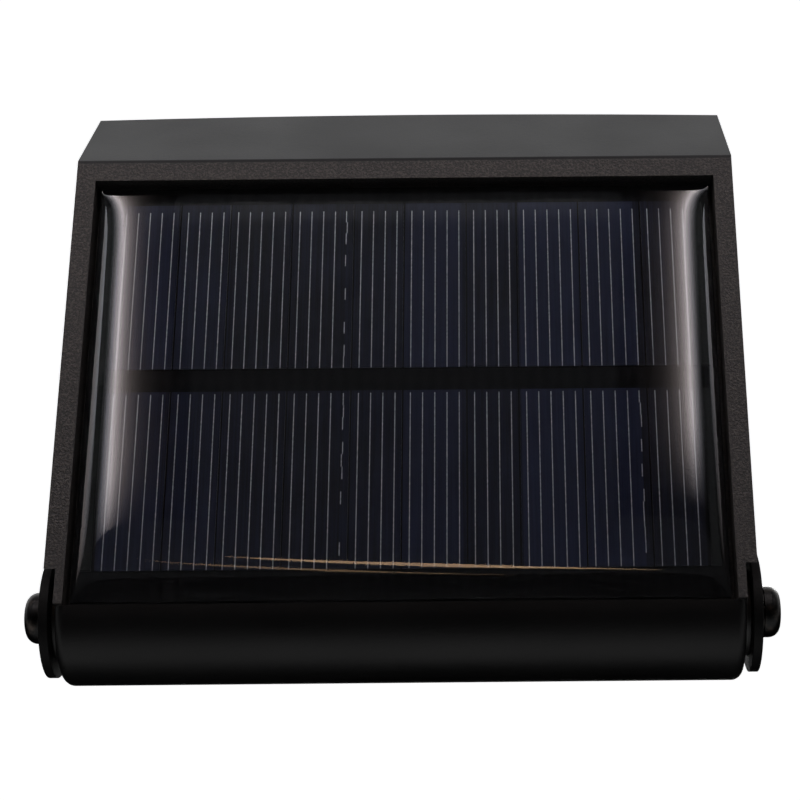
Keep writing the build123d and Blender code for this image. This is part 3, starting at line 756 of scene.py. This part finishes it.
class ElectronicsOperator(bpy.types.Operator):
    """Boards, LEDs, switch, battery and leads inside the head."""

    bl_idname = "solar_light.electronics"
    bl_label = "Electronics"

    def execute(self, context):
        # Polished white tray: bright and smooth, so that it throws the light out
        paint("reflector", moulded("abs_white_gloss_moulded", "#e4e4e0", "#eeeeea", 0.2))
        # White mask on aluminium: a pale varnish, a little cooler than the tray
        paint("led_board", solder_mask("aluminium_white_solder_mask", "#d6d8d8", "#e0e2e2"))
        # Moulded LED package: a warm white frame round each window
        paint("led_chips", moulded("resin_white_led_package", "#e8e6de", "#f0eee6", 0.4))
        # Green mask on laminate: a glossy varnish
        paint("controller_board", solder_mask("laminate_green_solder_mask", "#12482a", "#185a34"))
        # Moulded chip epoxy: a matt black block
        paint("board_parts", moulded("epoxy_black_chip_moulded", "#161616", "#202020", 0.45))
        # Moulded nylon: a satin black body with a greyer plunger
        paint("tact_switch", moulded("nylon_black_switch_moulded", "#1a1a1a", "#242424", 0.45))
        paint("switch_plunger", moulded("nylon_grey_plunger_moulded", "#3a3a3c", "#464648", 0.45))
        # Bright zinc plate: a cool grey metal
        paint("board_screws", plated("steel_zinc_plated", "#8f959b", "#b6bcc2", 0.32))
        # Shrunk PVC film: a tight glossy blue skin
        paint("battery_cell", moulded("pvc_blue_shrink_wrapped", "#123a7a", "#184896", 0.3))
        # Moulded cradle: a plain satin black
        paint("battery_cradle", moulded("abs_black_cradle_moulded", "#1c1c1c", "#262626", 0.5))
        # Nickel plate: a warm bright metal
        paint("battery_contacts", plated("steel_nickel_plated", "#a9a59a", "#c9c5ba", 0.28))
        for node in ("panel_leads", "led_leads", "battery_leads"):
            low, high = head_box(node)
            paint(node, wire_insulation("pvc_extruded_" + node, AXIS.x + (low.x + high.x) / 2))
        # Phosphor cast in silicone: a soft yellow window
        phosphor = moulded("silicone_yellow_phosphor_cast", "#d9b13c", "#e6c250", 0.35)
        span = CHIPS_HIGH - CHIPS_LOW
        centre = (CHIPS_HIGH + CHIPS_LOW) / 2
        inputs = {
            "Width": ("Float", span.x - LED_SIZE[0]),
            "Length": ("Float", span.y - LED_SIZE[1]),
            "Columns": ("Int", LED_COLUMNS),
            "Rows": ("Int", LED_ROWS),
            "Window": ("Vector", PHOSPHOR_SIZE),
            "Centre": ("Vector", (centre.x, centre.y, CHIPS_LOW.z - PHOSPHOR_PROUD)),
        }
        windows = grown("led_phosphor", inputs, phosphor, phosphor_tree)
        piece_of(windows, "led_phosphor", phosphor, "head", "led")
        return {"FINISHED"}


# Stage. Places are in metres from the tilt axis

FLOOR_DROP = 0.6
FLOOR_HALF = 30.0
BACKDROP_Y = 1.6
BACKDROP_TOP = 1.15
# Glow that lifts the paper to white where it is seen
PAPER_LIFT = 0.97
WORLD_STRENGTH = 0.2
# Two softboxes overhead, for the broad stripes on the resin
SOFTBOX_HEIGHT = 0.60
SOFTBOX_INNER, SOFTBOX_FULL, SOFTBOX_OUTER = 0.10, 0.225, 0.40
SOFTBOX_FRONT, SOFTBOX_LIT, SOFTBOX_BACK = -0.261, -0.201, 0.30
SOFTBOX_STRENGTH = 10.3
SOFTBOX_GROWTH = 2.7
SOFTBOX_MIDDLE = -0.025
# Cards at both sides, for the narrow stripes on the resin's edge
SIDE_CARD_X = 0.70
SIDE_CARD_LOW, SIDE_CARD_HIGH = 0.40, 0.84
SIDE_CARD_TOP_FADE = 0.04
SIDE_CARD_FRONT, SIDE_CARD_LIT, SIDE_CARD_BACK = -0.25, -0.06, 0.30
SIDE_CARD_DIM, SIDE_CARD_BRIGHT = 0.8, 3.4
SIDE_CARD_GROWTH = 1.0
# How a cloth fades past its brightest line, and how much sooner it ends at the right
CLOTH_FALL = 3.0
CLOTH_SKEW = -0.06
# Black card under the light, and a card in front with a black cloth over it, for the nose
TABLE_DROP = 0.12
TABLE_HALF, TABLE_FRONT, TABLE_BACK = 0.8, -0.08, 0.5
FRONT_CARD_Y = -0.9
FRONT_CARD_HALF = 0.7
FRONT_CARD_LOW, FRONT_CARD_HIGH = -0.59, -0.16
FRONT_CARD_GLOW = 1.1
FLAG_HALF, FLAG_TOP = 0.9, 1.0
# Bank of lamps over the top edge: its place, the way it shines, its length, width and watts
LAMP_PLACE = (-0.03, 0.03, 0.26)
LAMP_WAY = (0.0, 0.0, -1.0)
LAMP_LENGTH, LAMP_WIDTH, LAMP_WATTS = 0.16, 0.06, 0.5
# Fill lamp low behind the light, for the sides that face the wall
FILL_PLACE = (0.08, 0.50, -0.22)
FILL_SIZE, FILL_WATTS = 0.40, 5.0
# Ends of two thin lamps over the front edge, each with its width and strength
TUBES = (
    ((-0.12, -0.328), (0.115, -0.487), 0.034, 6.0),
    ((-0.165, -0.337), (0.03, -0.564), 0.028, 2.4),
)


def stage_sheet(name, corners, material, gloss_only=False):
    """A flat sheet of the stage. A gloss_only one shows in glossy surfaces alone."""
    mesh = bpy.data.meshes.new(name)
    mesh.from_pydata([AXIS + Vector(corner) for corner in corners], [], [(0, 1, 2, 3)])
    mesh.materials.append(material)
    sheet = bpy.data.objects.new(name, mesh)
    sheet.visible_camera = not gloss_only
    sheet.visible_diffuse = not gloss_only
    sheet.visible_shadow = not gloss_only
    bpy.context.scene.collection.objects.link(sheet)
    return sheet


def stage_material(name):
    """A material with an empty tree."""
    material = bpy.data.materials.new(name)
    material.use_nodes = True
    material.node_tree.nodes.clear()
    return material, material.node_tree


def white_paper():
    """Matt white paper, lifted to white where the camera, gloss or clear parts see it. It keeps shadows."""
    material, tree = stage_material("paper_white")
    rays = add(tree, "ShaderNodeLightPath").outputs
    seen = add(tree, MATH, {0: rays["Is Camera Ray"], 1: rays["Is Glossy Ray"]}, operation="MAXIMUM")
    seen = add(tree, MATH, {0: seen, 1: rays["Is Transmission Ray"]}, operation="MAXIMUM")
    paper = add(tree, "ShaderNodeBsdfDiffuse", {"Color": "#f4f4f4"})
    lift = add(tree, MATH, {0: seen, 1: PAPER_LIFT}, operation="MULTIPLY")
    glow = add(tree, "ShaderNodeEmission", {"Color": "#ffffff", "Strength": lift})
    both = add(tree, "ShaderNodeAddShader", {0: paper, 1: glow})
    add(tree, "ShaderNodeOutputMaterial", {"Surface": both})
    return material


def lit_cloth(name, axis, low, high, end, dim, bright, front, lit, power):
    """Softbox cloth: its light grows along one axis from low to high, falls to its end and fades in front.

    It is warm at its low side and cool at its end. The right-hand cloth fades a little sooner.
    """
    material, tree = stage_material(name)
    place = add(tree, "ShaderNodeTexCoord").outputs["Object"]
    local = add(tree, "ShaderNodeVectorMath", {0: place, 1: AXIS}, operation="SUBTRACT")
    axes = add(tree, AXES, {"Vector": local.outputs["Vector"]})
    if axis == "X":
        value = add(tree, MATH, {0: axes.outputs["X"], 1: SOFTBOX_MIDDLE}, operation="SUBTRACT")
        value = add(tree, MATH, {0: value}, operation="ABSOLUTE")
    else:
        value = axes.outputs[axis]
    share = add(tree, RANGE, {"Value": value, "From Min": low, "From Max": high})
    growth = add(tree, MATH, {0: share, 1: power}, operation="POWER")
    strength = add(tree, MATH, {0: growth, 1: bright - dim, 2: dim}, operation="MULTIPLY_ADD")
    fall = add(tree, RANGE, {"Value": value, "From Min": end, "From Max": high})
    fall = add(tree, MATH, {0: fall, 1: CLOTH_FALL}, operation="POWER")
    strength = add(tree, MATH, {0: strength, 1: fall}, operation="MULTIPLY")
    depth = add(tree, MATH, {
        0: axes.outputs["X"], 1: CLOTH_SKEW, 2: axes.outputs["Y"],
    }, operation="MULTIPLY_ADD")
    fade = add(tree, RANGE, {
        "Value": depth, "From Min": front, "From Max": lit,
    }, interpolation_type="SMOOTHSTEP")
    across = add(tree, RANGE, {"Value": value, "From Min": low, "From Max": end})
    tint = add(tree, MIX, {0: across, 6: "#ffe9e2", 7: "#edf2ff"}, data_type="RGBA")
    glow = add(tree, "ShaderNodeEmission", {
        "Color": tint, "Strength": add(tree, MATH, {0: strength, 1: fade}, operation="MULTIPLY"),
    })
    add(tree, "ShaderNodeOutputMaterial", {"Surface": glow})
    return material


def glowing(name, colour, strength):
    """An even glow, such as a lamp tube's."""
    material, tree = stage_material(name)
    glow = add(tree, "ShaderNodeEmission", {"Color": colour, "Strength": strength})
    add(tree, "ShaderNodeOutputMaterial", {"Surface": glow})
    return material


def matt_card(name, colour):
    """Card or cloth without gloss."""
    material, tree = stage_material(name)
    card = add(tree, "ShaderNodeBsdfDiffuse", {"Color": colour})
    add(tree, "ShaderNodeOutputMaterial", {"Surface": card})
    return material


def area_lamp(scene, name, place, way, length, width, watts):
    """A flat lamp at a place from the tilt axis, shining that way."""
    data = bpy.data.lights.new(name, "AREA")
    data.shape = "RECTANGLE"
    data.size, data.size_y = length, width
    data.energy = watts
    lamp = bpy.data.objects.new(name, data)
    turn = Vector(way).to_track_quat("-Z", "Y").to_matrix().to_4x4()
    lamp.matrix_world = Matrix.Translation(AXIS + Vector(place)) @ turn
    lamp.visible_camera = False
    scene.collection.objects.link(lamp)
    return lamp


class StageOperator(bpy.types.Operator):
    """Pale floor and backdrop, soft lights and the camera."""

    bl_idname = "solar_light.stage"
    bl_label = "Stage"

    def execute(self, context):
        scene = context.scene
        scene.view_settings.view_transform = "Standard"
        paper = white_paper()
        far = FLOOR_HALF
        stage_sheet("stage_floor", [
            (-far, -far, -FLOOR_DROP), (far, -far, -FLOOR_DROP),
            (far, far, -FLOOR_DROP), (-far, far, -FLOOR_DROP),
        ], paper)
        stage_sheet("stage_backdrop", [
            (-far, BACKDROP_Y, -FLOOR_DROP), (far, BACKDROP_Y, -FLOOR_DROP),
            (far, BACKDROP_Y, BACKDROP_TOP), (-far, BACKDROP_Y, BACKDROP_TOP),
        ], paper)
        cloth = lit_cloth(
            "softbox_cloth", "X", SOFTBOX_INNER, SOFTBOX_FULL, SOFTBOX_OUTER,
            0.0, SOFTBOX_STRENGTH, SOFTBOX_FRONT, SOFTBOX_LIT, SOFTBOX_GROWTH)
        side = lit_cloth(
            "side_cloth", "Z", SIDE_CARD_LOW, SIDE_CARD_HIGH - SIDE_CARD_TOP_FADE, SIDE_CARD_HIGH,
            SIDE_CARD_DIM, SIDE_CARD_BRIGHT, SIDE_CARD_FRONT, SIDE_CARD_LIT, SIDE_CARD_GROWTH)
        for name, way in (("left", -1), ("right", 1)):
            inner = SOFTBOX_MIDDLE + way * SOFTBOX_INNER
            outer = SOFTBOX_MIDDLE + way * SOFTBOX_OUTER
            stage_sheet(name + "_softbox", [
                (inner, SOFTBOX_FRONT, SOFTBOX_HEIGHT), (outer, SOFTBOX_FRONT, SOFTBOX_HEIGHT),
                (outer, SOFTBOX_BACK, SOFTBOX_HEIGHT), (inner, SOFTBOX_BACK, SOFTBOX_HEIGHT),
            ], cloth, gloss_only=True)
            x = way * SIDE_CARD_X
            stage_sheet(name + "_side_card", [
                (x, SIDE_CARD_FRONT, SIDE_CARD_LOW), (x, SIDE_CARD_BACK, SIDE_CARD_LOW),
                (x, SIDE_CARD_BACK, SIDE_CARD_HIGH), (x, SIDE_CARD_FRONT, SIDE_CARD_HIGH),
            ], side, gloss_only=True)
        for number, (start, end, width, strength) in enumerate(TUBES):
            start, end = Vector((*start, SOFTBOX_HEIGHT)), Vector((*end, SOFTBOX_HEIGHT))
            middle, side_way = (start + end) / 2, Vector((0.0, width / 2, 0.0))
            corners = (start, middle - side_way, end, middle + side_way)
            name = "warm_tube_%d" % number
            stage_sheet(name, corners, glowing(name, "#ffd3a6", strength), gloss_only=True)
        table = stage_sheet("table_card", [
            (-TABLE_HALF, TABLE_FRONT, -TABLE_DROP), (TABLE_HALF, TABLE_FRONT, -TABLE_DROP),
            (TABLE_HALF, TABLE_BACK, -TABLE_DROP), (-TABLE_HALF, TABLE_BACK, -TABLE_DROP),
        ], matt_card("card_black", "#202020"), gloss_only=True)
        table.visible_transmission = False
        stage_sheet("front_flag", [
            (-FLAG_HALF, FRONT_CARD_Y, FRONT_CARD_HIGH), (FLAG_HALF, FRONT_CARD_Y, FRONT_CARD_HIGH),
            (FLAG_HALF, FRONT_CARD_Y, FLAG_TOP), (-FLAG_HALF, FRONT_CARD_Y, FLAG_TOP),
        ], matt_card("cloth_black", "#080808"), gloss_only=True)
        stage_sheet("front_card", [
            (-FRONT_CARD_HALF, FRONT_CARD_Y, FRONT_CARD_LOW),
            (FRONT_CARD_HALF, FRONT_CARD_Y, FRONT_CARD_LOW),
            (FRONT_CARD_HALF, FRONT_CARD_Y, FRONT_CARD_HIGH),
            (-FRONT_CARD_HALF, FRONT_CARD_Y, FRONT_CARD_HIGH),
        ], glowing("card_dim", "#ffffff", FRONT_CARD_GLOW), gloss_only=True)
        bank = area_lamp(scene, "lamp_bank", LAMP_PLACE, LAMP_WAY, LAMP_LENGTH, LAMP_WIDTH, LAMP_WATTS)
        bank.visible_glossy = False
        area_lamp(scene, "wall_fill", FILL_PLACE, -Vector(FILL_PLACE), FILL_SIZE, FILL_SIZE, FILL_WATTS)
        world = bpy.data.worlds.new("studio")
        scene.world = world
        world.use_nodes = True
        sky = world.node_tree.nodes["Background"]
        fill(world.node_tree, sky, {"Color": "#8a8c90", "Strength": WORLD_STRENGTH})
        place_camera(scene)
        return {"FINISHED"}


# Camera at the photograph's view: in front of the light, above it and a little to its right
CAMERA_PLACE = AXIS + Vector((15.5, -321.9, 161.1)) * MM
CAMERA_DOWN = radians(20.7)
CAMERA_ROLL = radians(-0.53)
CAMERA_LENS = 93.5
CAMERA_SHIFT_X = -0.114
CAMERA_SENSOR = 36.0
CAMERA_NEAR = 0.01


def place_camera(scene):
    """The camera of the main view."""
    data = bpy.data.cameras.new("photo_view")
    data.lens = CAMERA_LENS
    data.sensor_width = CAMERA_SENSOR
    data.shift_x = CAMERA_SHIFT_X
    data.clip_start = CAMERA_NEAR
    camera = bpy.data.objects.new("photo_view", data)
    turn = Matrix.Rotation(pi / 2 - CAMERA_DOWN, 4, "X") @ Matrix.Rotation(CAMERA_ROLL, 4, "Z")
    camera.matrix_world = Matrix.Translation(CAMERA_PLACE) @ turn
    scene.collection.objects.link(camera)
    scene.camera = camera


class SolarLightPanel(bpy.types.Panel):
    """Lists the operators and settings."""

    bl_label = "Solar light"
    bl_idname = "VIEW3D_PT_solar_light"
    bl_space_type = "VIEW_3D"
    bl_region_type = "UI"
    bl_category = "Solar light"

    def draw(self, context):
        for operator in OPERATORS:
            self.layout.operator(operator.bl_idname)
        for group in (context.scene.solar_light_finish, context.scene.solar_light_sizes):
            for name in group.bl_rna.properties.keys():
                if name not in ("rna_type", "name"):
                    self.layout.prop(group, name)


OPERATORS = (
    ShellOperator, PanelOperator, BracketOperator, ScrewOperator, CoverOperator, ElectronicsOperator,
    StageOperator,
)
CLASSES = (SolarLightFinish, SolarLightSizes, *OPERATORS, SolarLightPanel)


def register():
    for item in CLASSES:
        bpy.utils.register_class(item)
    bpy.types.Scene.solar_light_finish = bpy.props.PointerProperty(type=SolarLightFinish)
    bpy.types.Scene.solar_light_sizes = bpy.props.PointerProperty(type=SolarLightSizes)


def unregister():
    del bpy.types.Scene.solar_light_sizes
    del bpy.types.Scene.solar_light_finish
    for item in reversed(CLASSES):
        bpy.utils.unregister_class(item)


def main():
    register()
    bpy.ops.solar_light.shell()
    bpy.ops.solar_light.panel()
    bpy.ops.solar_light.bracket()
    bpy.ops.solar_light.screws()
    bpy.ops.solar_light.cover()
    bpy.ops.solar_light.electronics()
    bpy.ops.solar_light.stage()


if __name__ == "__main__":
    main()
